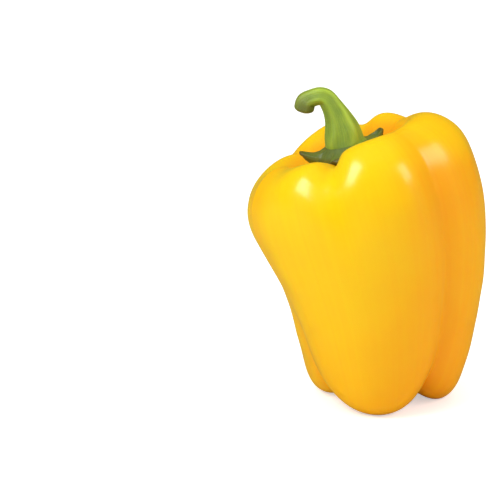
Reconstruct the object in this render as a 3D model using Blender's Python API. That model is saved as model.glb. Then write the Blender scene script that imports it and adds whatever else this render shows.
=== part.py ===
"""Bell pepper: a blocky four-lobed fruit that stands on its lobes, with its calyx and its cut stem.

Metres, +Z up, the front lobe faces -Y. Headings are in degrees counter-clockwise from +X seen from
above. Each piece is a ball whose points are set out along a smooth curve from its upper pole to its
lower pole, and all three share one core line, which arcs over to the left as it climbs.
"""

import math

import bmesh
import bpy
import numpy as np
from mathutils import Matrix

# ---------------------------------------------------------------- driving sizes, in metres

FRUIT_HEIGHT = 0.0945  # nominal height of the lobes' crest along the core
FRUIT_RADIUS = 0.0425  # nominal reach of a lobe from the core
LEAN = math.radians(19.0)  # lean of the core at crest height
SOLE_CUT = 0.0006  # how far the feet are pressed flat on the table

FIT_GAP = 0.0003  # clearance between neighbouring pieces

CALYX_THICKNESS = 0.0022  # of the green disc under the stem
CALYX_EDGE = 0.0013  # of its rim and its teeth
CALYX_WAIST = 0.0102  # radius of the disc between two teeth

STEM_RADIUS = 0.0072  # at its foot
STEM_RISE = 0.0158  # straight climb before the hook
STEM_OFFSET = 0.0002  # the stem's foot stands this far to the left of the core
STEM_RIDGES = 5
RIDGE_DEPTH = 0.055  # share of the stem's radius
RIDGE_PHASE = math.radians(-66.0)  # heading of one ridge

FRUIT_COLUMNS, FRUIT_RINGS = 80, 52
CALYX_COLUMNS, CALYX_RINGS = 50, 18
STEM_COLUMNS, STEM_RINGS = 25, 34

# ---------------------------------------------------------------- the fruit's skin

# Half of a lengthwise cut, from the calyx's seat over the crest and the side to the blossom scar:
# (lobe radius, lobe height, groove radius, groove height) as shares of FRUIT_RADIUS and
# FRUIT_HEIGHT, then how much each row takes of a lobe's own reach, crest, waist and stance, and
# how much of a shoulder crease.
SKIN = np.array(
    (
        (0.00, 0.962, 0.00, 0.962, 0.0, 0.0, 0.0, 0.0, 0.0),  # middle of the seat
        (0.17, 0.960, 0.17, 0.960, 0.0, 0.0, 0.0, 0.0, 0.0),
        (0.31, 0.955, 0.31, 0.955, 0.0, 0.0, 0.0, 0.0, 0.1),
        (0.44, 0.970, 0.43, 0.950, 0.3, 0.3, 0.0, 0.0, 0.6),  # inner wall of the hollow
        (0.58, 1.030, 0.56, 0.965, 0.8, 1.0, 0.0, 0.0, 1.0),  # crest
        (0.79, 1.012, 0.71, 0.950, 1.0, 1.0, 0.0, 0.0, 0.9),
        (0.98, 0.925, 0.86, 0.875, 1.0, 0.9, 0.0, 0.0, 0.6),  # shoulder
        (1.035, 0.790, 0.935, 0.765, 1.0, 0.7, 0.1, 0.0, 0.3),  # widest
        (1.00, 0.620, 0.905, 0.615, 1.0, 0.3, 0.8, 0.0, 0.1),
        (0.91, 0.445, 0.82, 0.445, 1.0, 0.0, 1.0, 0.2, 0.0),  # side
        (0.81, 0.270, 0.71, 0.270, 1.0, 0.0, 0.6, 0.6, 0.0),
        (0.71, 0.115, 0.60, 0.135, 1.0, 0.0, 0.2, 1.0, 0.0),
        (0.61, 0.010, 0.49, 0.065, 1.0, 0.0, 0.0, 1.0, 0.0),  # toe
        (0.46, -0.020, 0.36, 0.050, 1.0, 0.0, 0.0, 1.0, 0.0),  # sole
        (0.30, 0.010, 0.22, 0.063, 0.5, 0.0, 0.0, 0.7, 0.0),
        (0.17, 0.055, 0.14, 0.074, 0.0, 0.0, 0.0, 0.0, 0.0),  # wall of the scar's dimple
        (0.07, 0.084, 0.07, 0.084, 0.0, 0.0, 0.0, 0.0, 0.0),
        (0.00, 0.088, 0.00, 0.088, 0.0, 0.0, 0.0, 0.0, 0.0),  # blossom scar
    )
)
LOBE_SHARE = SKIN[:, 0:2]
GROOVE_SHARE = SKIN[:, 2:4]
TAKES_REACH, TAKES_CREST, TAKES_WAIST, TAKES_STANCE, TAKES_CREASE = SKIN[:, 4:9].T

# Each lobe lies between its own groove and the next one round: (reach of the side, rise of its
# crest over the grooves beside it, reach of the waist, reach of the foot), reaches as factors and
# the rise as a share of FRUIT_HEIGHT.
LOBES = np.array(
    (
        (1.00, -0.004, 1.00, 1.07),  # front
        (0.98, -0.032, 1.01, 0.99),  # right
        (1.00, -0.004, 1.00, 0.95),  # back
        (0.98, -0.040, 0.87, 1.04),  # left
    )
)
# Grooves: (heading at the shoulder, heading at the foot, depth as a factor, rise at the crest, how
# much of the depth is missing at the crest, travel at which it is all there).
GROOVES = np.array(
    (
        (-161.0, -149.0, 0.9, 0.012, 0.97, 0.76),
        (-47.0, -56.0, 1.35, 0.060, 0.6, 0.50),
        (35.0, 30.0, 1.0, 0.028, 0.1, 0.50),
        (138.0, 134.0, 1.0, 0.018, 0.2, 0.50),
    )
)
LOBE_COUNT = len(LOBES)
GROOVE_SOFTNESS = (0.34, 0.13)  # of the bottom of a groove, at the crest and from the side down
LOBE_FULLNESS = 0.75  # below 1 the lobes fill out and the grooves narrow
CREST_TRAVEL = 0.30  # the crest is passed by this share of the way from seat to scar

# A shoulder crease is a shallow dent over the crest of one lobe: (lobe, place across it, half
# width, depth), the last three as shares of the lobe.
CREASES = (
    (0, 0.515, 0.10, 0.60),
    (2, 0.38, 0.13, 0.95),
)

# Soft knuckles on the shoulders: (turn, travel, half width in turns, in travel, height in metres).
KNUCKLES = (
    (0.320, 0.300, 0.14, 0.080, 0.0031),
    (0.510, 0.285, 0.060, 0.060, -0.0022),
    (0.510, 0.235, 0.060, 0.045, -0.0080),
    (0.660, 0.300, 0.120, 0.100, 0.0010),
    (0.85, 0.385, 0.07, 0.060, 0.0010),
    (1.50, 0.33, 0.22, 0.070, 0.0006),
)

# ---------------------------------------------------------------- calyx and stem

# (heading, reach from the core, lift of the tip above the skin below it)
TEETH = np.array(
    (
        (-178.0, 0.0158, 0.0030),
        (-105.0, 0.0168, 0.0008),
        (-38.0, 0.0150, 0.0010),
        (22.0, 0.0150, 0.0022),
        (100.0, 0.0158, 0.0020),
    )
)

# The stem's middle line: (rise above its foot and reach to the left as shares of STEM_RISE,
# thickness as a share of STEM_RADIUS).
STEM_LINE = np.array(
    (
        (0.00, 0.00, 1.10),
        (0.10, 0.00, 1.02),
        (0.20, -0.01, 0.96),
        (0.45, -0.05, 0.83),
        (0.72, -0.06, 0.65),
        (1.00, -0.035, 0.51),
        (1.235, 0.02, 0.45),
        (1.345, 0.14, 0.43),
        (1.375, 0.31, 0.43),
        (1.35, 0.48, 0.49),
        (1.235, 0.57, 0.50),
    )
)
STEM_CAP = 0.12  # share of the rings that close each end of the stem


def smooth(edge_0, edge_1, x):
    """0 below the first edge, 1 above the second, and an even slope between them."""
    share = np.clip((x - edge_0) / (edge_1 - edge_0), 0.0, 1.0)
    return share * share * (3.0 - 2.0 * share)


def follow(rows, travel):
    """Points on the smooth curve guided by the control rows (points, rows, values), travel 0 to 1."""
    last = rows.shape[1] - 1
    place = np.clip(travel, 0.0, 1.0) * last
    step = np.minimum(np.floor(place).astype(int), last - 1)
    part = (place - step)[:, None]
    before = rows[:, 1:2] * np.array((-1.0, 1.0))
    after = rows[:, last - 1 : last] * np.array((-1.0, 1.0))
    ladder = np.concatenate((before, rows, after), axis=1)
    each = np.arange(len(rows))
    near = [ladder[each, step + offset] for offset in range(4)]
    return (
        near[0] * (1.0 - part) ** 3
        + near[1] * (3.0 * part**3 - 6.0 * part**2 + 4.0)
        + near[2] * (-3.0 * part**3 + 3.0 * part**2 + 3.0 * part + 1.0)
        + near[3] * part**3
    ) / 6.0


def lobe_rows():
    """Control rows down the middle of each lobe, in metres."""
    reach, _, waist, stance = (column[:, None] for column in LOBES.T)
    radius = LOBE_SHARE[:, 0] * (1.0 + TAKES_REACH * (reach - 1.0))
    radius = radius * (1.0 + TAKES_WAIST * (waist - 1.0)) * (1.0 + TAKES_STANCE * (stance - 1.0))
    height = LOBE_SHARE[:, 1] * np.ones(radius.shape)
    return np.stack((radius * FRUIT_RADIUS, height * FRUIT_HEIGHT), axis=2)


def groove_rows(lobes):
    """Control rows down each groove, which lies between the lobe before it and its own."""
    beside = 0.5 * (lobes + np.roll(lobes, 1, axis=0))
    middle = LOBE_SHARE * (FRUIT_RADIUS, FRUIT_HEIGHT)
    valley = GROOVE_SHARE * (FRUIT_RADIUS, FRUIT_HEIGHT)
    down = np.linspace(0.0, 1.0, len(SKIN))[None, :]
    missing = GROOVES[:, 4][:, None] * (1.0 - smooth(0.25, GROOVES[:, 5][:, None], down))
    depth = GROOVES[:, 2][:, None] * (1.0 - missing)
    return beside + (valley - middle) * depth[:, :, None]


def skin(turn, travel):
    """Radius, heading and height of the skin. turn counts lobes, with the grooves at whole numbers,
    and travel runs from the calyx's seat (0) to the blossom scar (1)."""
    own = np.floor(turn).astype(int) % LOBE_COUNT
    following = (own + 1) % LOBE_COUNT
    across = turn - np.floor(turn)

    crest_softness, side_softness = GROOVE_SOFTNESS
    soft = crest_softness + (side_softness - crest_softness) * smooth(0.30, 0.50, travel)
    swell = np.hypot(np.sin(np.pi * across), soft) - soft
    swell = (swell / (np.hypot(1.0, soft) - soft)) ** LOBE_FULLNESS
    passed = smooth(0.0, 1.0, across)
    rise = GROOVES[own, 3] * (1.0 - passed) + GROOVES[following, 3] * passed + LOBES[own, 1] * swell
    swells = swell[:, None] * np.ones(len(SKIN))
    for lobe, middle, width, depth in CREASES:
        dent = depth * np.exp(-(((across - middle) / width) ** 2)) * (own == lobe)
        swells *= 1.0 - dent[:, None] * TAKES_CREASE

    lobes = lobe_rows()
    grooves = groove_rows(lobes)
    share = across[:, None, None]
    valley = grooves[own] * (1.0 - share) + grooves[following] * share
    rows = valley + (lobes[own] - valley) * swells[:, :, None]
    rows[:, :, 1] += rise[:, None] * TAKES_CREST * FRUIT_HEIGHT
    radius, height = follow(rows, travel).T

    for place, down, wide, long, lift in KNUCKLES:
        off = (turn - place + 0.5 * LOBE_COUNT) % LOBE_COUNT - 0.5 * LOBE_COUNT
        bump = lift * np.exp(-((off / wide) ** 2) - ((travel - down) / long) ** 2)
        radius = radius + 0.8 * bump
        height = height + 0.6 * bump

    drift = smooth(0.35, 0.95, travel)
    heading, foot = GROOVES[:, 0], GROOVES[:, 1]
    start = heading[own] + (foot[own] - heading[own]) * drift
    end = heading[following] + (foot[following] - heading[following]) * drift
    end = end + 360.0 * (own == LOBE_COUNT - 1)
    return radius, np.radians(start + (end - start) * across), height


def turn_at(heading):
    """The turn at which a heading (radians) crosses the shoulder."""
    ends = np.append(GROOVES[:, 0], GROOVES[0, 0] + 360.0)
    degrees = (np.degrees(heading) - ends[0]) % 360.0 + ends[0]
    return np.interp(degrees, ends, np.arange(LOBE_COUNT + 1.0))


def crown(radius, heading):
    """Height of the skin around the stem, out to the crest."""
    steps = 41
    travel = np.tile(np.linspace(0.0, CREST_TRAVEL, steps), len(radius))
    line_radius, _, line_height = skin(np.repeat(turn_at(heading), steps), travel)
    line_radius = line_radius.reshape(-1, steps)
    line_height = line_height.reshape(-1, steps)
    each = np.arange(len(radius))
    after = np.clip((line_radius <= radius[:, None]).sum(axis=1), 1, steps - 1)
    low, high = line_radius[each, after - 1], line_radius[each, after]
    part = np.clip((radius - low) / (high - low), 0.0, 1.0)
    return line_height[each, after - 1] * (1.0 - part) + line_height[each, after] * part


def lean_over(x, y, height):
    """Bends points set out round a straight core onto the leaning one."""
    angle = LEAN * height / FRUIT_HEIGHT
    arc = FRUIT_HEIGHT / LEAN
    return np.stack(
        (
            x * np.cos(angle) - arc * (1.0 - np.cos(angle)),
            y,
            x * np.sin(angle) + arc * np.sin(angle),
        ),
        axis=1,
    )


def fruit_points(around, down):
    radius, heading, height = skin(around * LOBE_COUNT, down)
    return lean_over(radius * np.cos(heading), radius * np.sin(heading), height)


def tooth_outline(around):
    """Heading round the calyx, its outline there, how tooth-like the outline is and the tip's lift.
    Every tooth has the same share of the columns, and its tip in the middle of them."""
    count = len(TEETH)
    place = around * count
    own = np.floor(place + 0.5).astype(int)
    off = place - own
    tips = np.radians(TEETH[:, 0])
    lap = 2.0 * np.pi
    here = tips[own % count] + lap * (own // count)
    beside = own + np.where(off < 0.0, -1, 1)
    there = tips[beside % count] + lap * (beside // count)
    heading = here + (there - here) * np.abs(off)
    point = np.clip(1.06 - np.hypot(2.0 * off, 0.06), 0.0, 1.0) ** 1.4
    reach = CALYX_WAIST + (TEETH[own % count, 1] - CALYX_WAIST) * point
    return heading, reach, point, TEETH[own % count, 2]


def calyx_points(around, down):
    """A thin disc: the upper half of the ball is its face, the lower half its underside."""
    heading, reach, point, lift = tooth_outline(around)
    upper = down < 0.5
    out = np.where(upper, down, 1.0 - down) * 2.0
    spread = np.sin(0.5 * np.pi * out)
    radius = reach * spread
    under = crown(radius, heading) + FIT_GAP
    free = smooth(0.55, 1.0, spread)
    under = under + lift * point * free**1.5
    thickness = CALYX_THICKNESS + (CALYX_EDGE - CALYX_THICKNESS) * smooth(0.60, 1.0, spread)
    round_edge = np.sqrt(np.clip(1.0 - spread**16, 0.0, 1.0))
    middle = under + 0.5 * thickness
    height = middle + np.where(upper, 0.5, -0.5) * thickness * round_edge
    flat = stem_foot_height() - FIT_GAP
    under_stem = radius < STEM_LINE[0, 2] * STEM_RADIUS + STEM_OFFSET + FIT_GAP
    height = np.where(upper & under_stem, flat, height)
    return lean_over(radius * np.cos(heading), radius * np.sin(heading), height)


def stem_foot_height():
    """Height of the stem's foot along the core: on the calyx, with the fit gap under it."""
    seat = SKIN[0, 1] * FRUIT_HEIGHT
    return seat + FIT_GAP + CALYX_THICKNESS + FIT_GAP


def stem_line(travel):
    """Middle line of the stem: rise, reach to the left and thickness, in metres."""
    last = len(STEM_LINE) - 1
    place = np.clip(travel, 0.0, 1.0) * last
    step = np.minimum(np.floor(place).astype(int), last - 1)
    part = (place - step)[:, None]
    ladder = np.concatenate((STEM_LINE[:1], STEM_LINE, STEM_LINE[-1:]))
    ladder = ladder * (STEM_RISE, STEM_RISE, STEM_RADIUS)
    ladder[0] = 2.0 * ladder[1] - ladder[2]
    ladder[-1] = 2.0 * ladder[-2] - ladder[-3]
    p0, p1, p2, p3 = (ladder[step + offset] for offset in range(4))
    return 0.5 * (
        2.0 * p1
        + (p2 - p0) * part
        + (2.0 * p0 - 5.0 * p1 + 4.0 * p2 - p3) * part**2
        + (3.0 * p1 - p0 - 3.0 * p2 + p3) * part**3
    )


def stem_points(around, down):
    """A ridged tube round the stem's line. The ball's poles are the middles of its two ends, the
    upper pole the cut end."""
    along = 1.0 - down
    travel = (along - STEM_CAP) / (1.0 - 2.0 * STEM_CAP)
    rise, reach, thick = stem_line(travel).T
    ahead_rise, ahead_reach, _ = stem_line(np.clip(travel, 0.0, 0.999) + 0.001).T
    back_rise, back_reach, _ = stem_line(np.clip(travel, 0.001, 1.0) - 0.001).T
    climb = ahead_rise - back_rise
    drift = ahead_reach - back_reach
    length = np.hypot(climb, drift)
    climb, drift = climb / length, drift / length

    angle = around * 2.0 * np.pi
    ridge = 1.0 + RIDGE_DEPTH * np.cos(STEM_RIDGES * (angle - RIDGE_PHASE))
    cap_foot = smooth(0.0, 1.0, along / STEM_CAP)
    cut_turn = 0.5 * np.pi * np.clip((1.0 - along) / STEM_CAP, 0.0, 1.0)
    cap_cut = np.sin(cut_turn) ** 0.85
    radius = thick * ridge * np.where(along < 0.5, cap_foot, cap_cut)
    bulge = 0.50 * thick * np.where(along < 0.5, 0.0, np.cos(cut_turn))
    side = radius * np.cos(angle)
    x = side * climb - reach - drift * bulge - STEM_OFFSET
    height = stem_foot_height() + rise + climb * bulge + side * drift
    return lean_over(x, radius * np.sin(angle), height)


def ball(name, columns, rings, place, collection):
    """A closed mesh with the ball's grid of points, each moved to where place puts it."""
    shape = bmesh.new()
    bmesh.ops.create_uvsphere(shape, u_segments=columns, v_segments=rings, radius=1.0)
    points = np.array([vertex.co[:] for vertex in shape.verts])
    around = (np.arctan2(points[:, 1], points[:, 0]) / (2.0 * np.pi)) % 1.0
    down = np.arccos(np.clip(points[:, 2], -1.0, 1.0)) / np.pi
    for vertex, point in zip(shape.verts, place(around, down)):
        vertex.co = point
    bmesh.ops.recalc_face_normals(shape, faces=shape.faces)
    for face in shape.faces:
        face.smooth = True
    mesh = bpy.data.meshes.new(name)
    shape.to_mesh(mesh)
    shape.free()
    piece = bpy.data.objects.new(name, mesh)
    collection.objects.link(piece)
    return piece


def press_flat(piece, height):
    """Cuts the piece off level at a height and closes it with flat faces."""
    shape = bmesh.new()
    shape.from_mesh(piece.data)
    cut = bmesh.ops.bisect_plane(
        shape,
        geom=shape.verts[:] + shape.edges[:] + shape.faces[:],
        dist=1e-7,
        plane_co=(0.0, 0.0, height),
        plane_no=(0.0, 0.0, 1.0),
        clear_inner=True,
    )
    rim = [item for item in cut["geom_cut"] if isinstance(item, bmesh.types.BMEdge)]
    bmesh.ops.edgeloop_fill(shape, edges=rim)
    bmesh.ops.recalc_face_normals(shape, faces=shape.faces)
    shape.to_mesh(piece.data)
    shape.free()


def stand_on_origin(pieces, floor):
    """Moves the pieces so that the middle of their box's underside is the origin."""
    points = np.concatenate([[vertex.co[:] for vertex in piece.data.vertices] for piece in pieces])
    middle = 0.5 * (points.min(axis=0) + points.max(axis=0))
    shift = Matrix.Translation((-middle[0], -middle[1], -floor))
    for piece in pieces:
        piece.data.transform(shift)


def material(name, colour, roughness):
    skin_material = bpy.data.materials.new(name)
    skin_material.use_nodes = True
    shader = skin_material.node_tree.nodes["Principled BSDF"]
    shader.inputs["Base Color"].default_value = (*colour, 1.0)
    shader.inputs["Roughness"].default_value = roughness
    shader.inputs["Metallic"].default_value = 0.0
    return skin_material


def main():
    for item in list(bpy.data.objects):
        bpy.data.objects.remove(item, do_unlink=True)

    pepper = bpy.data.collections.new("bell_pepper")
    bpy.context.scene.collection.children.link(pepper)

    fruit = ball("fruit", FRUIT_COLUMNS, FRUIT_RINGS, fruit_points, pepper)
    calyx = ball("calyx", CALYX_COLUMNS, CALYX_RINGS, calyx_points, pepper)
    stem = ball("stem", STEM_COLUMNS, STEM_RINGS, stem_points, pepper)

    lowest = min(vertex.co.z for vertex in fruit.data.vertices)
    floor = lowest + SOLE_CUT
    press_flat(fruit, floor)
    stand_on_origin((fruit, calyx, stem), floor)

    fruit.data.materials.append(material("fruit_skin", (0.90, 0.60, 0.01), 0.30))
    calyx.data.materials.append(material("calyx_skin", (0.12, 0.20, 0.04), 0.50))
    stem.data.materials.append(material("stem_skin", (0.33, 0.50, 0.06), 0.45))


main()
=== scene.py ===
"""Bell pepper, finished: a waxy lobed fruit with its calyx and ridged stem, on a plain pale table.

The skin, calyx and stem are set out round one core line that arcs to the left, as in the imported
model: each is a ball whose points follow a curve from its upper pole to its lower pole.
"""

import math

import bmesh
import bpy
import numpy as np
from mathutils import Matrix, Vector


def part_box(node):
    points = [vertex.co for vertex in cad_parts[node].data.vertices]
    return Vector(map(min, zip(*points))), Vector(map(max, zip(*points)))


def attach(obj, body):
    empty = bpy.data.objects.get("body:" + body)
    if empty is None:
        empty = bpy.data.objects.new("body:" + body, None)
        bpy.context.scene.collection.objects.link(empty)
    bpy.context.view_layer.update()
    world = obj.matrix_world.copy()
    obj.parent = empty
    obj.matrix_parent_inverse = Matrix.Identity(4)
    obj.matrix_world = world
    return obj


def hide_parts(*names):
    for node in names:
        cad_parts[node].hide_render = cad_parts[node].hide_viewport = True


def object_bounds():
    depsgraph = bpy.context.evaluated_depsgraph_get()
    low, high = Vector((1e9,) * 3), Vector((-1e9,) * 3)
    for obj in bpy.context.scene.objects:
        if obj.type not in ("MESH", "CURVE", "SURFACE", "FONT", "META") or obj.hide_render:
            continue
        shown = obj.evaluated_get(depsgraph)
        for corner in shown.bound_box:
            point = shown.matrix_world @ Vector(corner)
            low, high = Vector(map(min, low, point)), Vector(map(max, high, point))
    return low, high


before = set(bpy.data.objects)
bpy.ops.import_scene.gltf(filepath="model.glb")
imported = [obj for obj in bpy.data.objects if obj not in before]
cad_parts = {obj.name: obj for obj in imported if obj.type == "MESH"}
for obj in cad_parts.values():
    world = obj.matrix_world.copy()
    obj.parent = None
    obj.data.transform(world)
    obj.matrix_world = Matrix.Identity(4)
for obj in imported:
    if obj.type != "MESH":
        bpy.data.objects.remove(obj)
cad_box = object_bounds()

# ---------------------------------------------------------------- the core and the skin

FRUIT_HEIGHT = 0.0945
FRUIT_RADIUS = 0.0425
LEAN = math.radians(19.0)
SOLE_CUT = 0.0006

# Rows down a lengthwise cut, from the calyx's seat to the blossom scar: (lobe radius, lobe height,
# groove radius, groove height) as shares of FRUIT_RADIUS and FRUIT_HEIGHT, then how much each row
# takes of a lobe's reach, crest, waist and stance, and of a shoulder crease.
SKIN = np.array(
    (
        (0.00, 0.962, 0.00, 0.962, 0.0, 0.0, 0.0, 0.0, 0.0),  # middle of the seat
        (0.17, 0.960, 0.17, 0.960, 0.0, 0.0, 0.0, 0.0, 0.0),
        (0.31, 0.955, 0.31, 0.955, 0.0, 0.0, 0.0, 0.0, 0.1),
        (0.44, 0.970, 0.43, 0.950, 0.3, 0.3, 0.0, 0.0, 0.6),  # inner wall of the hollow
        (0.58, 1.030, 0.56, 0.965, 0.8, 1.0, 0.0, 0.0, 1.0),  # crest
        (0.79, 1.012, 0.71, 0.950, 1.0, 1.0, 0.0, 0.0, 0.9),
        (0.98, 0.925, 0.86, 0.875, 1.0, 0.9, 0.0, 0.0, 0.6),  # shoulder
        (1.035, 0.790, 0.935, 0.765, 1.0, 0.7, 0.1, 0.0, 0.3),  # widest
        (1.00, 0.620, 0.905, 0.615, 1.0, 0.3, 0.8, 0.0, 0.1),
        (0.91, 0.445, 0.82, 0.445, 1.0, 0.0, 1.0, 0.2, 0.0),  # side
        (0.81, 0.270, 0.71, 0.270, 1.0, 0.0, 0.6, 0.6, 0.0),
        (0.71, 0.115, 0.60, 0.135, 1.0, 0.0, 0.2, 1.0, 0.0),
        (0.61, 0.010, 0.49, 0.065, 1.0, 0.0, 0.0, 1.0, 0.0),  # toe
        (0.46, -0.020, 0.36, 0.050, 1.0, 0.0, 0.0, 1.0, 0.0),  # sole
        (0.30, 0.010, 0.22, 0.063, 0.5, 0.0, 0.0, 0.7, 0.0),
        (0.17, 0.055, 0.14, 0.074, 0.0, 0.0, 0.0, 0.0, 0.0),  # wall of the scar's dimple
        (0.07, 0.084, 0.07, 0.084, 0.0, 0.0, 0.0, 0.0, 0.0),
        (0.00, 0.088, 0.00, 0.088, 0.0, 0.0, 0.0, 0.0, 0.0),  # blossom scar
    )
)
LOBE_SHARE = SKIN[:, 0:2]
GROOVE_SHARE = SKIN[:, 2:4]
TAKES_REACH, TAKES_CREST, TAKES_WAIST, TAKES_STANCE, TAKES_CREASE = SKIN[:, 4:9].T

# Lobes, each between its own groove and the next: (reach, rise of the crest, waist, stance).
LOBES = np.array(
    (
        (1.00, -0.004, 1.00, 1.07),  # front
        (0.98, -0.032, 1.01, 0.99),  # right
        (1.00, -0.004, 1.00, 0.95),  # back
        (0.98, -0.040, 0.87, 1.04),  # left
    )
)
# Grooves: (heading at the shoulder, heading at the foot, depth, rise at the crest, how much of
# the depth is missing at the crest, travel at which it is all there).
GROOVES = np.array(
    (
        (-161.0, -149.0, 0.9, 0.012, 0.97, 0.76),
        (-47.0, -56.0, 1.35, 0.060, 0.6, 0.50),
        (35.0, 30.0, 1.0, 0.028, 0.1, 0.50),
        (138.0, 134.0, 1.0, 0.018, 0.2, 0.50),
    )
)
LOBE_COUNT = len(LOBES)
GROOVE_SOFTNESS = (0.34, 0.13)  # of the bottom of a groove, at the crest and from the side down
LOBE_FULLNESS = 0.75  # below 1 the lobes fill out and the grooves narrow
CREST_TRAVEL = 0.30

# Creases over a crest: (lobe, place across it, half width, depth).
CREASES = (
    (0, 0.515, 0.10, 0.60),
    (2, 0.38, 0.13, 0.95),
)

# Soft knuckles on the shoulders: (turn, travel, half width in turns, in travel, height in metres).
KNUCKLES = (
    (0.320, 0.300, 0.14, 0.080, 0.0031),
    (0.510, 0.285, 0.060, 0.060, -0.0022),
    (0.510, 0.235, 0.060, 0.045, -0.0080),
    (0.660, 0.300, 0.120, 0.100, 0.0010),
    (0.85, 0.385, 0.07, 0.060, 0.0010),
    (1.50, 0.33, 0.22, 0.070, 0.0006),
)
KNUCKLE_OUT, KNUCKLE_UP = 0.8, 0.6  # the way a knuckle swells, outwards and upwards

# Where the skin's bloom is left dull, in the fold between the front knuckles: (turn, travel, half
# widths in each).
DULL_FOLD = (0.515, 0.36, 0.075, 0.10)
DULL_HOLLOW = 0.7  # how dull the hollow round the stem is, out to the crest

UNDULATION = 0.00016  # height of the slow waves in the skin
UNDULATION_LENGTH = (0.011, 0.026)
UNDULATION_WAVES, UNDULATION_SEED = 14, 3

# ---------------------------------------------------------------- calyx and stem

CALYX_WAIST = 0.0106
CALYX_THICKNESS = 0.0026
CALYX_EDGE = 0.0034
CALYX_GAP = 0.00008
COLLAR = 0.0030  # how far the calyx climbs the stem
COLLAR_LENGTH = 0.0028
COLLAR_HEADING = math.radians(-160.0)  # where it climbs highest
COLLAR_LEAST = 0.35  # share of the climb that is left on the far side
TOOTH_SPINE = 0.00045  # height of the ridge along each tooth
CALYX_ROUGHNESS = 0.00008  # height of the small waves at its rim
CALYX_WAVE_LENGTH = (0.0016, 0.004)
CALYX_WAVES, CALYX_SEED = 10, 5

TOOTH_WIDTH = (0.10, 0.60)  # where a tooth starts to narrow and where it ends, of half its share
# Teeth: (heading, reach, lift of the tooth, curl of its tip).
TEETH = np.array(
    (
        (-178.0, 0.0166, 0.0022, 0.0026),
        (-105.0, 0.0188, 0.0000, -0.0004),
        (-38.0, 0.0152, 0.0002, 0.0008),
        (22.0, 0.0150, -0.0008, 0.0030),
        (100.0, 0.0162, 0.0006, 0.0014),
    )
)

STEM_RADIUS = 0.0072
STEM_RISE = 0.0158
STEM_OFFSET = 0.0002
STEM_RIDGES = 5
RIDGE_DEPTH = 0.075  # share of the stem's radius
RIDGE_PHASE = math.radians(-66.0)
RIDGE_TWIST = math.radians(30.0)
# Middle line: (rise and reach to the left as shares of STEM_RISE, thickness of STEM_RADIUS).
STEM_LINE = np.array(
    (
        (-0.04, 0.00, 1.22),
        (0.10, 0.00, 1.02),
        (0.20, -0.01, 0.96),
        (0.45, -0.05, 0.83),
        (0.72, -0.06, 0.65),
        (1.00, -0.035, 0.51),
        (1.235, 0.02, 0.45),
        (1.345, 0.14, 0.43),
        (1.375, 0.31, 0.43),
        (1.35, 0.48, 0.49),
        (1.235, 0.57, 0.50),
    )
)
STEM_CAP = 0.10  # share of the rings that close each end of the stem
CUT_FULLNESS = 0.85  # below 1 the rim of the cut end is fuller
CUT_BULGE = 0.50  # how far the cut end bulges, as a share of the stem's thickness there
PAINTED_LIGHT_HEADING = math.radians(-22.0)  # the heading on which the stem is painted palest: painted light, as if lit from that side

# ---------------------------------------------------------------- fineness of the meshes

FRUIT_COLUMNS, FRUIT_RINGS = 320, 250
CALYX_COLUMNS, CALYX_RINGS = 200, 90
STEM_COLUMNS, STEM_RINGS = 120, 170
CROWN_COLUMNS, CROWN_STEPS = 480, 81


def smooth(edge_0, edge_1, x):
    """0 below the first edge, 1 above the second, and an even slope between them."""
    share = np.clip((x - edge_0) / (edge_1 - edge_0), 0.0, 1.0)
    return share * share * (3.0 - 2.0 * share)


def waves(points, lengths, count, seed):
    """Slow waves of height about 1 over the points, the same ones for the same seed."""
    draw = np.random.default_rng(seed)
    total = np.zeros(len(points))
    for _ in range(count):
        way = draw.normal(size=3)
        way /= np.linalg.norm(way)
        length = draw.uniform(*lengths)
        total += np.sin(points @ way * (2.0 * np.pi / length) + draw.uniform(0.0, 2.0 * np.pi))
    return total / math.sqrt(count)


def follow(rows, travel):
    """Points on the smooth curve guided by the control rows (points, rows, values), travel 0 to 1."""
    last = rows.shape[1] - 1
    place = np.clip(travel, 0.0, 1.0) * last
    step = np.minimum(np.floor(place).astype(int), last - 1)
    part = (place - step)[:, None]
    before = rows[:, 1:2] * np.array((-1.0, 1.0))
    after = rows[:, last - 1 : last] * np.array((-1.0, 1.0))
    ladder = np.concatenate((before, rows, after), axis=1)
    each = np.arange(len(rows))
    near = [ladder[each, step + offset] for offset in range(4)]
    return (
        near[0] * (1.0 - part) ** 3
        + near[1] * (3.0 * part**3 - 6.0 * part**2 + 4.0)
        + near[2] * (-3.0 * part**3 + 3.0 * part**2 + 3.0 * part + 1.0)
        + near[3] * part**3
    ) / 6.0


def lobe_rows():
    """Control rows down the middle of each lobe, in metres."""
    reach, _, waist, stance = (column[:, None] for column in LOBES.T)
    radius = LOBE_SHARE[:, 0] * (1.0 + TAKES_REACH * (reach - 1.0))
    radius = radius * (1.0 + TAKES_WAIST * (waist - 1.0)) * (1.0 + TAKES_STANCE * (stance - 1.0))
    height = LOBE_SHARE[:, 1] * np.ones(radius.shape)
    return np.stack((radius * FRUIT_RADIUS, height * FRUIT_HEIGHT), axis=2)


def groove_rows(lobes):
    """Control rows down each groove, which lies between the lobe before it and its own."""
    beside = 0.5 * (lobes + np.roll(lobes, 1, axis=0))
    middle = LOBE_SHARE * (FRUIT_RADIUS, FRUIT_HEIGHT)
    valley = GROOVE_SHARE * (FRUIT_RADIUS, FRUIT_HEIGHT)
    down = np.linspace(0.0, 1.0, len(SKIN))[None, :]
    missing = GROOVES[:, 4][:, None] * (1.0 - smooth(0.25, GROOVES[:, 5][:, None], down))
    depth = GROOVES[:, 2][:, None] * (1.0 - missing)
    return beside + (valley - middle) * depth[:, :, None]


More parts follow.
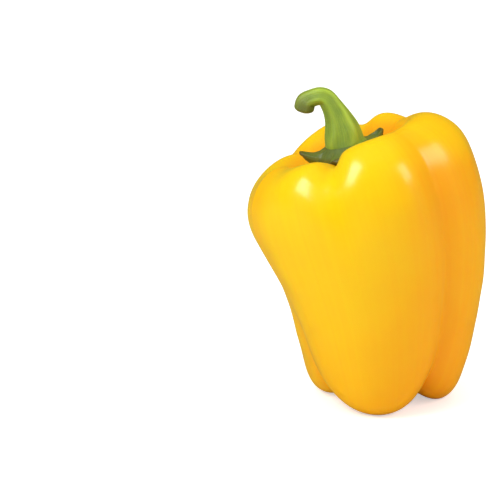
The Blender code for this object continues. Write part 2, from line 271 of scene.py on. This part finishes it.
def skin(turn, travel):
    """Radius, heading, height and swell of the skin. turn counts lobes, with the grooves at whole
    numbers, and travel runs from the calyx's seat (0) to the blossom scar (1)."""
    own = np.floor(turn).astype(int) % LOBE_COUNT
    following = (own + 1) % LOBE_COUNT
    across = turn - np.floor(turn)

    crest_softness, side_softness = GROOVE_SOFTNESS
    soft = crest_softness + (side_softness - crest_softness) * smooth(0.30, 0.50, travel)
    swell = np.hypot(np.sin(np.pi * across), soft) - soft
    swell = (swell / (np.hypot(1.0, soft) - soft)) ** LOBE_FULLNESS
    passed = smooth(0.0, 1.0, across)
    rise = GROOVES[own, 3] * (1.0 - passed) + GROOVES[following, 3] * passed + LOBES[own, 1] * swell
    swells = swell[:, None] * np.ones(len(SKIN))
    for lobe, middle, width, depth in CREASES:
        dent = depth * np.exp(-(((across - middle) / width) ** 2)) * (own == lobe)
        swells *= 1.0 - dent[:, None] * TAKES_CREASE

    lobes = lobe_rows()
    grooves = groove_rows(lobes)
    share = across[:, None, None]
    valley = grooves[own] * (1.0 - share) + grooves[following] * share
    rows = valley + (lobes[own] - valley) * swells[:, :, None]
    rows[:, :, 1] += rise[:, None] * TAKES_CREST * FRUIT_HEIGHT
    radius, height = follow(rows, travel).T

    for place, down, wide, long, lift in KNUCKLES:
        off = (turn - place + 0.5 * LOBE_COUNT) % LOBE_COUNT - 0.5 * LOBE_COUNT
        bump = lift * np.exp(-((off / wide) ** 2) - ((travel - down) / long) ** 2)
        radius = radius + KNUCKLE_OUT * bump
        height = height + KNUCKLE_UP * bump

    drift = smooth(0.35, 0.95, travel)
    heading, foot = GROOVES[:, 0], GROOVES[:, 1]
    start = heading[own] + (foot[own] - heading[own]) * drift
    end = heading[following] + (foot[following] - heading[following]) * drift
    end = end + 360.0 * (own == LOBE_COUNT - 1)
    return radius, np.radians(start + (end - start) * across), height, swell


def turn_at(heading):
    """The turn at which a heading (radians) crosses the shoulder."""
    ends = np.append(GROOVES[:, 0], GROOVES[0, 0] + 360.0)
    degrees = (np.degrees(heading) - ends[0]) % 360.0 + ends[0]
    return np.interp(degrees, ends, np.arange(LOBE_COUNT + 1.0))


def crown_table():
    """Radius and height of the skin around the stem: one row for each of CROWN_COLUMNS turns."""
    turn = np.repeat(np.arange(CROWN_COLUMNS) * LOBE_COUNT / CROWN_COLUMNS, CROWN_STEPS)
    travel = np.tile(np.linspace(0.0, CREST_TRAVEL, CROWN_STEPS), CROWN_COLUMNS)
    radius, _, height, _ = skin(turn, travel)
    return radius.reshape(-1, CROWN_STEPS), height.reshape(-1, CROWN_STEPS)


def crown(radius, heading, table):
    """Height of the skin around the stem, out to the crest."""
    place = turn_at(heading) * CROWN_COLUMNS / LOBE_COUNT
    first = np.floor(place).astype(int)
    blend = place - first
    heights = []
    for column in (first % CROWN_COLUMNS, (first + 1) % CROWN_COLUMNS):
        line_radius, line_height = table[0][column], table[1][column]
        each = np.arange(len(radius))
        after = np.clip((line_radius <= radius[:, None]).sum(axis=1), 1, CROWN_STEPS - 1)
        low, high = line_radius[each, after - 1], line_radius[each, after]
        part = np.clip((radius - low) / (high - low), 0.0, 1.0)
        heights.append(line_height[each, after - 1] * (1.0 - part) + line_height[each, after] * part)
    return heights[0] * (1.0 - blend) + heights[1] * blend


def lean_over(x, y, height):
    """Bends points set out round a straight core onto the leaning one."""
    angle = LEAN * height / FRUIT_HEIGHT
    arc = FRUIT_HEIGHT / LEAN
    return np.stack(
        (
            x * np.cos(angle) - arc * (1.0 - np.cos(angle)),
            y,
            x * np.sin(angle) + arc * np.sin(angle),
        ),
        axis=1,
    )


def fruit_points(around, down):
    radius, heading, height, swell = skin(around * LOBE_COUNT, down)
    points = lean_over(radius * np.cos(heading), radius * np.sin(heading), height)
    outward = np.stack((np.cos(heading), np.sin(heading), np.zeros(len(heading))), axis=1)
    calm = smooth(0.10, 0.25, down) * (1.0 - smooth(0.68, 0.76, down))
    ripple = UNDULATION * waves(points, UNDULATION_LENGTH, UNDULATION_WAVES, UNDULATION_SEED) * calm
    points = points + outward * ripple[:, None]
    turning = around * 2.0 * np.pi
    lengthwise = np.stack((np.cos(turning), np.sin(turning), down), axis=1)
    place, depth, wide, long = DULL_FOLD
    dull = np.exp(-(((around * LOBE_COUNT - place) / wide) ** 2) - ((down - depth) / long) ** 2)
    dull = np.maximum(dull, DULL_HOLLOW * (1.0 - smooth(0.16, 0.27, down)))
    return points, {"lengthwise": lengthwise, "valley": 1.0 - swell, "dull": dull}


def tooth_outline(around):
    """Heading round the calyx, its outline there, how far up a tooth it is, and the tooth's number."""
    count = len(TEETH)
    place = around * count
    own = np.floor(place + 0.5).astype(int)
    off = place - own
    tips = np.radians(TEETH[:, 0])
    lap = 2.0 * np.pi
    here = tips[own % count] + lap * (own // count)
    beside = own + np.where(off < 0.0, -1, 1)
    there = tips[beside % count] + lap * (beside // count)
    heading = here + (there - here) * np.abs(off)
    point = 1.0 - smooth(TOOTH_WIDTH[0], TOOTH_WIDTH[1], np.abs(2.0 * off))
    reach = CALYX_WAIST + (TEETH[own % count, 1] - CALYX_WAIST) * point
    return heading, reach, point, own % count


def calyx_points(around, down):
    """A fleshy star: the upper half of the ball is its face, the lower half its underside."""
    heading, reach, point, own = tooth_outline(around)
    upper = down < 0.5
    out = np.where(upper, down, 1.0 - down) * 2.0
    spread = np.sin(0.5 * np.pi * out)
    radius = reach * spread
    under = crown(radius, heading, crown_table()) + CALYX_GAP
    free = smooth(0.45, 1.0, spread)
    under = under + point * (TEETH[own, 2] * free + TEETH[own, 3] * free**14)
    thickness = CALYX_THICKNESS + (CALYX_EDGE - CALYX_THICKNESS) * smooth(0.55, 0.95, spread)
    round_edge = np.sqrt(np.clip(1.0 - spread**7, 0.0, 1.0))
    height = under + 0.5 * thickness + np.where(upper, 0.5, -0.5) * thickness * round_edge
    off_stem = np.clip(radius - STEM_RADIUS, 0.0, None)
    collar = COLLAR * np.exp(-off_stem / COLLAR_LENGTH)
    towards = np.cos(0.5 * (heading - COLLAR_HEADING)) ** 2
    collar *= COLLAR_LEAST + (1.0 - COLLAR_LEAST) * towards
    spine = TOOTH_SPINE * point**0.5 * np.exp(-(((spread - 0.7) / 0.25) ** 2))
    height = height + np.where(upper, collar + spine, 0.0)
    points = lean_over(radius * np.cos(heading), radius * np.sin(heading), height)
    rim = smooth(0.6, 0.8, spread)
    points[:, 2] += CALYX_ROUGHNESS * waves(points, CALYX_WAVE_LENGTH, CALYX_WAVES, CALYX_SEED) * rim
    lengthwise = np.stack((np.cos(heading), np.sin(heading), spread), axis=1)
    tip = smooth(0.80, 1.0, spread) * point
    return points, {"lengthwise": lengthwise, "tip": tip}


def stem_foot_height():
    """Height of the stem's foot along the core: on the calyx's face."""
    return SKIN[0, 1] * FRUIT_HEIGHT + CALYX_THICKNESS + CALYX_GAP


def stem_line(travel):
    """Middle line of the stem: rise, reach to the left and thickness, in metres."""
    last = len(STEM_LINE) - 1
    place = np.clip(travel, 0.0, 1.0) * last
    step = np.minimum(np.floor(place).astype(int), last - 1)
    part = (place - step)[:, None]
    ladder = np.concatenate((STEM_LINE[:1], STEM_LINE, STEM_LINE[-1:]))
    ladder = ladder * (STEM_RISE, STEM_RISE, STEM_RADIUS)
    ladder[0] = 2.0 * ladder[1] - ladder[2]
    ladder[-1] = 2.0 * ladder[-2] - ladder[-3]
    p0, p1, p2, p3 = (ladder[step + offset] for offset in range(4))
    return 0.5 * (
        2.0 * p1
        + (p2 - p0) * part
        + (2.0 * p0 - 5.0 * p1 + 4.0 * p2 - p3) * part**2
        + (3.0 * p1 - p0 - 3.0 * p2 + p3) * part**3
    )


def stem_points(around, down):
    """A ridged tube round the stem's line, whose upper pole is the middle of the cut end."""
    along = 1.0 - down
    travel = (along - STEM_CAP) / (1.0 - 2.0 * STEM_CAP)
    rise, reach, thick = stem_line(travel).T
    ahead_rise, ahead_reach, _ = stem_line(np.clip(travel, 0.0, 0.999) + 0.001).T
    back_rise, back_reach, _ = stem_line(np.clip(travel, 0.001, 1.0) - 0.001).T
    climb = ahead_rise - back_rise
    drift = ahead_reach - back_reach
    length = np.hypot(climb, drift)
    climb, drift = climb / length, drift / length

    angle = around * 2.0 * np.pi
    turn = STEM_RIDGES * (angle - RIDGE_PHASE - RIDGE_TWIST * smooth(0.0, 0.6, travel))
    crest = (0.5 + 0.5 * np.cos(turn)) ** 1.6 * 2.0 - 0.75
    rising = 0.1 + 0.9 * smooth(0.08, 0.35, travel)
    fading = 1.0 - 0.6 * smooth(0.7, 0.95, travel)
    depth = RIDGE_DEPTH * rising * fading
    ridge = 1.0 + depth * crest
    cap_foot = smooth(0.0, 1.0, along / STEM_CAP)
    cut_turn = 0.5 * np.pi * np.clip((1.0 - along) / STEM_CAP, 0.0, 1.0)
    cap_cut = np.sin(cut_turn) ** CUT_FULLNESS
    radius = thick * ridge * np.where(along < 0.5, cap_foot, cap_cut)
    bulge = CUT_BULGE * thick * np.where(along < 0.5, 0.0, np.cos(cut_turn))
    side = radius * np.cos(angle)
    x = side * climb - reach - drift * bulge - STEM_OFFSET
    height = stem_foot_height() + rise + climb * bulge + side * drift
    points = lean_over(x, radius * np.sin(angle), height)
    lengthwise = np.stack((np.cos(angle), np.sin(angle), travel), axis=1)
    # Painted light: the ridge crests are painted pale and the furrows between them dark, palest on the
    # side towards the lights.
    painted_ridge_light = np.clip(0.5 + 0.5 * crest, 0.0, 1.0) * (0.5 + 0.5 * np.cos(angle - PAINTED_LIGHT_HEADING))
    return points, {"lengthwise": lengthwise, "ridge": painted_ridge_light, "travel": travel}


def ball(name, columns, rings, place):
    """A closed smooth mesh with the ball's grid of points, each moved to where place puts it. place
    also gives the named values that the material reads at each point."""
    shape = bmesh.new()
    bmesh.ops.create_uvsphere(shape, u_segments=columns, v_segments=rings, radius=1.0)
    mesh = bpy.data.meshes.new(name)
    shape.to_mesh(mesh)
    shape.free()
    points = np.empty(len(mesh.vertices) * 3)
    mesh.vertices.foreach_get("co", points)
    points = points.reshape(-1, 3)
    around = (np.arctan2(points[:, 1], points[:, 0]) / (2.0 * np.pi)) % 1.0
    down = np.arccos(np.clip(points[:, 2], -1.0, 1.0)) / np.pi
    moved, values = place(around, down)
    mesh.vertices.foreach_set("co", moved.ravel())
    for value_name, value in values.items():
        kind, field = ("FLOAT_VECTOR", "vector") if value.ndim == 2 else ("FLOAT", "value")
        layer = mesh.attributes.new(value_name, kind, "POINT")
        layer.data.foreach_set(field, value.ravel())
    mesh.shade_smooth()
    mesh.update()
    piece = bpy.data.objects.new(name, mesh)
    bpy.context.scene.collection.objects.link(piece)
    return piece


def place_pieces(fruit, pieces):
    """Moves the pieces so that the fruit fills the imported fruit's box and stands on the table."""
    points = np.empty(len(fruit.data.vertices) * 3)
    fruit.data.vertices.foreach_get("co", points)
    points = points.reshape(-1, 3)
    low, high = (np.array(corner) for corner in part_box("fruit"))
    middle = 0.5 * (points.min(axis=0) + points.max(axis=0))
    shift = 0.5 * (low + high) - middle
    shift[2] = low[2] - points[:, 2].min() - SOLE_CUT
    for piece in pieces:
        points = np.empty(len(piece.data.vertices) * 3)
        piece.data.vertices.foreach_get("co", points)
        points = points.reshape(-1, 3) + shift
        points[:, 2] = np.maximum(points[:, 2], low[2])
        piece.data.vertices.foreach_set("co", points.ravel())
        piece.data.update()


# ---------------------------------------------------------------- materials


class Board:
    """Nodes and links of one material or group, written shortly."""

    def __init__(self, tree):
        self.tree = tree

    def node(self, kind, inputs=None, **settings):
        made = self.tree.nodes.new(kind)
        for key, value in settings.items():
            setattr(made, key, value)
        for key, value in (inputs or {}).items():
            if isinstance(value, bpy.types.NodeSocket):
                self.tree.links.new(value, made.inputs[key])
            else:
                made.inputs[key].default_value = value
        return made

    def math(self, operation, first, second=0.0, clamp=False):
        made = self.node("ShaderNodeMath", {0: first, 1: second}, operation=operation)
        made.use_clamp = clamp
        return made.outputs[0]

    def times(self, first, second):
        return self.math("MULTIPLY", first, second)

    def plus(self, first, second, clamp=False):
        return self.math("ADD", first, second, clamp)

    def rest_of(self, share):
        """What is left of 1 when the share is taken away."""
        return self.math("SUBTRACT", 1.0, share)

    def between(self, value, low, high):
        """From low to high as the value goes from 0 to 1."""
        return self.node("ShaderNodeMapRange", {"Value": value, "To Min": low, "To Max": high}).outputs[0]

    def carried(self, name, output="Fac"):
        """A value that the mesh carries at each of its points."""
        return self.node("ShaderNodeAttribute", attribute_name=name).outputs[output]

    def ramp(self, value, low, high):
        """0 to 1 as the value goes from low to high."""
        made = self.node("ShaderNodeMapRange", {"Value": value, "From Min": low, "From Max": high})
        made.interpolation_type = "SMOOTHSTEP"
        return made.outputs["Result"]

    def mix(self, share, first, second):
        """The first colour where the share is 0, the second where it is 1."""
        made = self.node("ShaderNodeMix", data_type="RGBA")
        for socket, value in (
            (made.inputs["Factor"], share),
            (made.inputs["A"], first),
            (made.inputs["B"], second),
        ):
            self.feed(made, socket, value)
        return made.outputs["Result"]

    def feed(self, made, socket, value):
        """Sets a mix's socket, of the kind that colours use, to a value or to what a node puts out."""
        if socket.name in ("A", "B"):
            socket = next(s for s in made.inputs if s.name == socket.name and s.type == "RGBA")
        if socket.name == "Factor":
            socket = next(s for s in made.inputs if s.name == "Factor" and s.type == "VALUE")
        if isinstance(value, bpy.types.NodeSocket):
            self.tree.links.new(value, socket)
        else:
            socket.default_value = value


def start_group(name, inputs, outputs):
    """A node group with its sockets, the board to build it on, and what its inputs give."""
    group = bpy.data.node_groups.new(name, "ShaderNodeTree")
    for socket, kind in inputs:
        group.interface.new_socket(socket, in_out="INPUT", socket_type=kind)
    for socket in outputs:
        group.interface.new_socket(socket, in_out="OUTPUT", socket_type="NodeSocketFloat")
    board = Board(group)
    return group, board, board.node("NodeGroupInput").outputs


def mottle_group():
    """Blotches and flecks of a grown surface, each from 0 to 1, and the height of its fine grain."""
    group, board, given = start_group(
        "grown_mottle",
        (
            ("Place", "NodeSocketVector"),
            ("Blotch Scale", "NodeSocketFloat"),
            ("Fleck Scale", "NodeSocketFloat"),
        ),
        ("Blotch", "Fleck", "Grain"),
    )
    place, blotch_scale, fleck_scale = given["Place"], given["Blotch Scale"], given["Fleck Scale"]
    blotch = board.node(
        "ShaderNodeTexNoise",
        {"Vector": place, "Scale": blotch_scale, "Detail": 2.0, "Roughness": 0.5},
    )
    fleck = board.node(
        "ShaderNodeTexVoronoi",
        {"Vector": place, "Scale": fleck_scale, "Randomness": 1.0},
    )
    grain = board.node(
        "ShaderNodeTexNoise",
        {"Vector": place, "Scale": fleck_scale, "Detail": 3.0, "Roughness": 0.6},
    )
    board.node(
        "NodeGroupOutput",
        {
            "Blotch": board.ramp(blotch.outputs["Fac"], 0.35, 0.65),
            "Fleck": board.ramp(fleck.outputs["Distance"], 0.32, 0.10),
            "Grain": grain.outputs["Fac"],
        },
    )
    return group


def streak_group():
    """Streaks that run along a grown piece, from 0 to 1."""
    group, board, given = start_group(
        "grown_streaks",
        (
            ("Lengthwise", "NodeSocketVector"),
            ("Across", "NodeSocketFloat"),
            ("Along", "NodeSocketFloat"),
        ),
        ("Streak",),
    )
    scale = board.node(
        "ShaderNodeCombineXYZ",
        {"X": given["Across"], "Y": given["Across"], "Z": given["Along"]},
    )
    stretched = board.node(
        "ShaderNodeVectorMath",
        {0: given["Lengthwise"], 1: scale.outputs[0]},
        operation="MULTIPLY",
    )
    streak = board.node(
        "ShaderNodeTexNoise",
        {"Vector": stretched.outputs[0], "Scale": 1.0, "Detail": 3.0, "Roughness": 0.55},
    )
    board.node("NodeGroupOutput", {"Streak": board.ramp(streak.outputs["Fac"], 0.30, 0.70)})
    return group


def start_material(name, settings):
    """A material with its shader's even values set, ready for the varied ones."""
    made = bpy.data.materials.new(name)
    made.use_nodes = True
    shader = made.node_tree.nodes["Principled BSDF"]
    for key, value in settings.items():
        shader.inputs[key].default_value = value
    return made, Board(made.node_tree), shader


def place_groups(board, mottle, streaks, blotch_scale, fleck_scale, across, along):
    """The mottle and streak groups in a material, read from the piece's own places."""
    place = board.node("ShaderNodeTexCoord").outputs["Object"]
    lengthwise = board.node("ShaderNodeAttribute", attribute_name="lengthwise").outputs["Vector"]
    spots = board.node("ShaderNodeGroup", node_tree=mottle)
    board.tree.links.new(place, spots.inputs["Place"])
    spots.inputs["Blotch Scale"].default_value = blotch_scale
    spots.inputs["Fleck Scale"].default_value = fleck_scale
    lines = board.node("ShaderNodeGroup", node_tree=streaks)
    board.tree.links.new(lengthwise, lines.inputs["Lengthwise"])
    lines.inputs["Across"].default_value = across
    lines.inputs["Along"].default_value = along
    return place, spots, lines


def roughen(board, shader, grain, streak, rough, strength, distance, grain_share):
    """Gives the surface its fine relief, and returns the roughness that goes with its grain."""
    roughness = board.between(grain, *rough)
    height = board.plus(board.times(grain, grain_share), board.times(streak, 1.0 - grain_share))
    bump = board.node("ShaderNodeBump", {"Height": height, "Strength": strength, "Distance": distance})
    board.tree.links.new(bump.outputs[0], shader.inputs["Normal"])
    return roughness


# Lemon and gold are the ends of the skin's gradient, which is partly ripening and partly painted shade.
# Gold is also the painted shade at its outline, and the amber is the painted shade in its grooves and
# hollow.
LEMON = (0.96, 0.61, 0.001, 1.0)
GOLD = (0.97, 0.355, 0.001, 1.0)
SHADE_AMBER = (0.94, 0.28, 0.002, 1.0)
SCAR_BROWN = (0.16, 0.09, 0.03, 1.0)
PALE_FLECK = (0.97, 0.72, 0.02, 1.0)


def fruit_material(mottle, streaks):
    made, board, shader = start_material(
        "ripe_skin",
        {
            "Metallic": 0.0,
            "IOR": 1.45,
            "Subsurface Weight": 0.25,
            "Subsurface Radius": (1.0, 0.45, 0.08),
            "Subsurface Scale": 0.004,
            "Specular IOR Level": 0.28,
            "Specular Tint": (1.0, 0.90, 0.25, 1.0),
            "Coat Roughness": 0.23,
        },
    )
    place, spots, lines = place_groups(board, mottle, streaks, 28.0, 900.0, 26.0, 1.4)
    blotch, fleck, grain = (spots.outputs[name] for name in ("Blotch", "Fleck", "Grain"))
    streak = lines.outputs["Streak"]
    parts = board.node("ShaderNodeSeparateXYZ", {0: place}).outputs

    # Gold low down and towards +X, lemon high on the -X side: partly ripening and partly painted shade.
    # The bottom and the +X side, away from the key light, are painted gold, and the lit crest is kept
    # lemon.
    low_down = board.ramp(parts["Z"], 0.085, 0.0)
    crest_high = board.ramp(parts["Z"], 0.088, 0.101)
    sideways = board.ramp(parts["X"], -0.008, 0.029)
    sideways = board.times(sideways, board.rest_of(board.times(crest_high, 0.65)))
    lemon_by_height = board.rest_of(board.times(low_down, 0.48))
    lemon_by_side = board.rest_of(board.times(sideways, 0.82))
    ripeness_and_shade = board.rest_of(board.times(lemon_by_height, lemon_by_side))
    ripeness_and_shade = board.plus(ripeness_and_shade, board.times(board.math("SUBTRACT", blotch, 0.5), 0.12))
    ripeness_and_shade = board.plus(ripeness_and_shade, board.times(board.math("SUBTRACT", streak, 0.5), 0.10), clamp=True)
    colour = board.mix(ripeness_and_shade, LEMON, GOLD)

    # Painted shade: the skin is painted gold where it turns away from the view, at its outline.
    painted_edge_shade = board.node("ShaderNodeLayerWeight", {"Blend": 0.35}).outputs["Facing"]
    colour = board.mix(board.times(painted_edge_shade, 0.15), colour, GOLD)
    # Painted shade: the grooves are painted amber.
    valley = board.ramp(board.carried("valley"), 0.45, 1.0)
    colour = board.mix(board.times(valley, 0.30), colour, SHADE_AMBER)
    colour = board.mix(board.times(fleck, 0.05), colour, PALE_FLECK)
    down = board.node("ShaderNodeSeparateXYZ", {0: board.carried("lengthwise", "Vector")}).outputs["Z"]
    # Painted shade: the hollow round the stem is painted amber.
    hollow = board.ramp(down, 0.27, 0.17)
    colour = board.mix(board.times(hollow, 0.60), colour, SHADE_AMBER)
    scar = board.ramp(down, 0.965, 0.985)
    colour = board.mix(scar, colour, SCAR_BROWN)
    board.tree.links.new(colour, shader.inputs["Base Color"])

    dull = board.carried("dull")
    roughness = roughen(board, shader, grain, streak, (0.29, 0.36), 0.12, 0.0002, 0.6)
    roughness = board.plus(roughness, board.times(dull, 0.35))
    board.tree.links.new(roughness, shader.inputs["Roughness"])
    board.tree.links.new(board.between(dull, 0.85, 0.0), shader.inputs["Coat Weight"])
    return made


STEM_LIGHT = (0.40, 0.56, 0.040, 1.0)
STEM_DARK = (0.15, 0.27, 0.028, 1.0)
CUT_AND_SHADE_OLIVE = (0.12, 0.14, 0.030, 1.0)
STEM_FLECK = (0.50, 0.66, 0.14, 1.0)


def stem_material(mottle, streaks):
    made, board, shader = start_material(
        "fresh_stem",
        {
            "Metallic": 0.0,
            "Subsurface Weight": 0.12,
            "Subsurface Radius": (0.4, 1.0, 0.15),
            "Subsurface Scale": 0.0015,
        },
    )
    _, spots, lines = place_groups(board, mottle, streaks, 160.0, 2200.0, 11.0, 3.0)
    blotch, fleck, grain = (spots.outputs[name] for name in ("Blotch", "Fleck", "Grain"))
    streak = lines.outputs["Streak"]
    # Painted light: the carried ridge value paints the lit ridge crests pale. The streaks and blotches
    # are the stem's own colour.
    light = board.plus(board.times(board.carried("ridge"), 0.60), board.times(streak, 0.25))
    light = board.plus(light, board.times(blotch, 0.25), clamp=True)
    colour = board.mix(light, STEM_DARK, STEM_LIGHT)
    colour = board.mix(board.times(fleck, 0.18), colour, STEM_FLECK)
    travel = board.carried("travel")
    # The cut end is painted dark olive: partly the cut's own colour, and partly painted shade under the
    # hook's knob.
    cut_end_and_shade = board.ramp(travel, 0.72, 1.00)
    colour = board.mix(board.times(cut_end_and_shade, 0.88), colour, CUT_AND_SHADE_OLIVE)
    foot = board.ramp(travel, 0.30, 0.04)
    colour = board.mix(board.times(foot, 0.6), colour, STEM_DARK)
    board.tree.links.new(colour, shader.inputs["Base Color"])
    roughness = roughen(board, shader, grain, streak, (0.38, 0.55), 0.45, 0.0003, 0.3)
    board.tree.links.new(roughness, shader.inputs["Roughness"])
    return made


CALYX_GREEN = (0.07, 0.12, 0.020, 1.0)
CALYX_LIGHT = (0.15, 0.20, 0.030, 1.0)
TIP_BROWN = (0.08, 0.060, 0.015, 1.0)


def calyx_material(mottle, streaks):
    made, board, shader = start_material(
        "calyx_flesh",
        {
            "Metallic": 0.0,
            "Subsurface Weight": 0.08,
            "Subsurface Radius": (0.4, 1.0, 0.15),
            "Subsurface Scale": 0.001,
        },
    )
    _, spots, lines = place_groups(board, mottle, streaks, 220.0, 2600.0, 9.0, 1.5)
    blotch, grain = spots.outputs["Blotch"], spots.outputs["Grain"]
    streak = lines.outputs["Streak"]
    light = board.plus(board.times(streak, 0.6), board.times(blotch, 0.4))
    colour = board.mix(light, CALYX_GREEN, CALYX_LIGHT)
    tip = board.ramp(board.carried("tip"), 0.55, 1.0)
    colour = board.mix(board.times(tip, 0.75), colour, TIP_BROWN)
    board.tree.links.new(colour, shader.inputs["Base Color"])
    roughness = roughen(board, shader, grain, streak, (0.42, 0.60), 0.5, 0.0003, 0.4)
    board.tree.links.new(roughness, shader.inputs["Roughness"])
    return made


# ---------------------------------------------------------------- table, light and camera


WHITE = (1.0, 1.0, 1.0, 1.0)
TABLE_RADIUS = 6.0
TABLE_DROP = 0.0001  # how far the table top is below the feet
TABLE_PALE = (0.86, 0.86, 0.86, 1.0)
TABLE_PALER = (0.88, 0.88, 0.88, 1.0)
TABLE_MIRRORED = (0.52, 0.40, 0.05, 1.0)  # warm, as it shows in the skin's gloss
TABLE_GLOW = 0.5  # lifts the table to white for the camera alone


def table():
    """A wide pale table top, just under the fruit's feet."""
    made, board, shader = start_material("pale_table", {"Metallic": 0.0, "Roughness": 0.7})
    place = board.node("ShaderNodeTexCoord").outputs["Object"]
    noise = board.node("ShaderNodeTexNoise", {"Vector": place, "Scale": 6.0, "Detail": 2.0})
    colour = board.mix(noise.outputs["Fac"], TABLE_PALE, TABLE_PALER)
    seen = board.node("ShaderNodeLightPath").outputs
    colour = board.mix(seen["Is Glossy Ray"], colour, TABLE_MIRRORED)
    board.tree.links.new(colour, shader.inputs["Base Color"])
    glow = board.between(seen["Is Camera Ray"], 0.0, TABLE_GLOW)
    shader.inputs["Emission Color"].default_value = WHITE
    board.tree.links.new(glow, shader.inputs["Emission Strength"])
    shape = bmesh.new()
    bmesh.ops.create_circle(shape, cap_ends=True, segments=96, radius=TABLE_RADIUS)
    mesh = bpy.data.meshes.new("table_top")
    shape.to_mesh(mesh)
    shape.free()
    mesh.materials.append(made)
    top = bpy.data.objects.new("table_top", mesh)
    top.location.z = cad_box[0][2] - TABLE_DROP
    bpy.context.scene.collection.objects.link(top)


LAMP_AIM = (0.0, 0.0, 0.06)
LIT, MIRRORED = "lit", "mirrored"
# Softboxes: (name, place, size, power, whether it lights the pepper, shows in its gloss, or both).
SOFTBOXES = (
    ("key_softbox", (-0.43, -0.36, 0.66), (0.32, 0.46), 3.4, (LIT,)),
    ("key_sheen", (-0.43, -0.36, 0.655), (0.40, 0.60), 6.0, (MIRRORED,)),
    ("right_softbox", (0.66, -0.21, 0.54), (0.36, 0.36), 1.6, (LIT, MIRRORED)),
    ("low_softbox", (-0.62, -0.42, 0.10), (0.40, 0.40), 0.6, (LIT,)),
    ("right_fill", (0.75, -0.10, 0.12), (0.50, 0.40), 0.6, (LIT,)),
    ("top_softbox", (0.05, 0.15, 0.9), (0.8, 0.8), 1.9, (LIT,)),
)
ROOM_LIGHT = 0.53
ROOM_IN_GLOSS = 0.52
ROOM_TINT_IN_GLOSS = (1.0, 0.78, 0.06, 1.0)  # keeps the skin's edges yellow
BACKDROP_LIFT = 0.47  # brings the room up to white for the camera alone


def softbox(name, place, size, power, works):
    light = bpy.data.lights.new(name, "AREA")
    light.shape = "RECTANGLE"
    light.size, light.size_y = size
    light.energy = power
    lamp = bpy.data.objects.new(name, light)
    lamp.location = place
    lamp.visible_diffuse = LIT in works
    lamp.visible_glossy = MIRRORED in works
    lamp.rotation_euler = (Vector(LAMP_AIM) - Vector(place)).to_track_quat("-Z", "Y").to_euler()
    bpy.context.scene.collection.objects.link(lamp)


def studio():
    """White room with a key softbox high on the front left and weaker ones round the pepper. The
    key's shine is a box of its own, a little larger, and most of the others only light."""
    world = bpy.data.worlds.new("white_room")
    world.use_nodes = True
    board = Board(world.node_tree)
    back = world.node_tree.nodes["Background"]
    seen = board.node("ShaderNodeLightPath").outputs
    tint = board.mix(seen["Is Glossy Ray"], WHITE, ROOM_TINT_IN_GLOSS)
    board.tree.links.new(tint, back.inputs["Color"])
    strength = board.between(seen["Is Glossy Ray"], ROOM_LIGHT, ROOM_IN_GLOSS)
    strength = board.plus(strength, board.times(seen["Is Camera Ray"], BACKDROP_LIFT))
    board.tree.links.new(strength, back.inputs["Strength"])
    bpy.context.scene.world = world
    for name, place, size, power, works in SOFTBOXES:
        softbox(name, place, size, power, works)
    bpy.context.scene.view_settings.view_transform = "Standard"


CAMERA_RISE = math.radians(17.0)
CAMERA_DISTANCE = 0.75
CAMERA_AIM = (-0.0417, -0.0002, 0.0546)
CAMERA_LENS = 150.0  # millimetres, on a 36 mm sensor
SENSOR_WIDTH = 36.0


def camera():
    lens = bpy.data.cameras.new("camera")
    lens.lens = CAMERA_LENS
    lens.sensor_width = SENSOR_WIDTH
    eye = bpy.data.objects.new("camera", lens)
    aim = Vector(CAMERA_AIM)
    towards = Vector((0.0, -math.cos(CAMERA_RISE), math.sin(CAMERA_RISE)))
    eye.location = aim + CAMERA_DISTANCE * towards
    eye.rotation_euler = (aim - eye.location).to_track_quat("-Z", "Y").to_euler()
    bpy.context.scene.collection.objects.link(eye)
    bpy.context.scene.camera = eye


def main():
    fruit = ball("fruit_skin", FRUIT_COLUMNS, FRUIT_RINGS, fruit_points)
    calyx = ball("calyx_star", CALYX_COLUMNS, CALYX_RINGS, calyx_points)
    stem = ball("stem_hook", STEM_COLUMNS, STEM_RINGS, stem_points)
    place_pieces(fruit, (fruit, calyx, stem))

    mottle, streaks = mottle_group(), streak_group()
    for piece, node, slot, made in (
        (fruit, "fruit", "fruit_skin", fruit_material(mottle, streaks)),
        (calyx, "calyx", "calyx_green", calyx_material(mottle, streaks)),
        (stem, "stem", "stem_green", stem_material(mottle, streaks)),
    ):
        piece.data.materials.append(made)
        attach(piece, "root")
        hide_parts(node)

    table()
    studio()
    camera()


main()
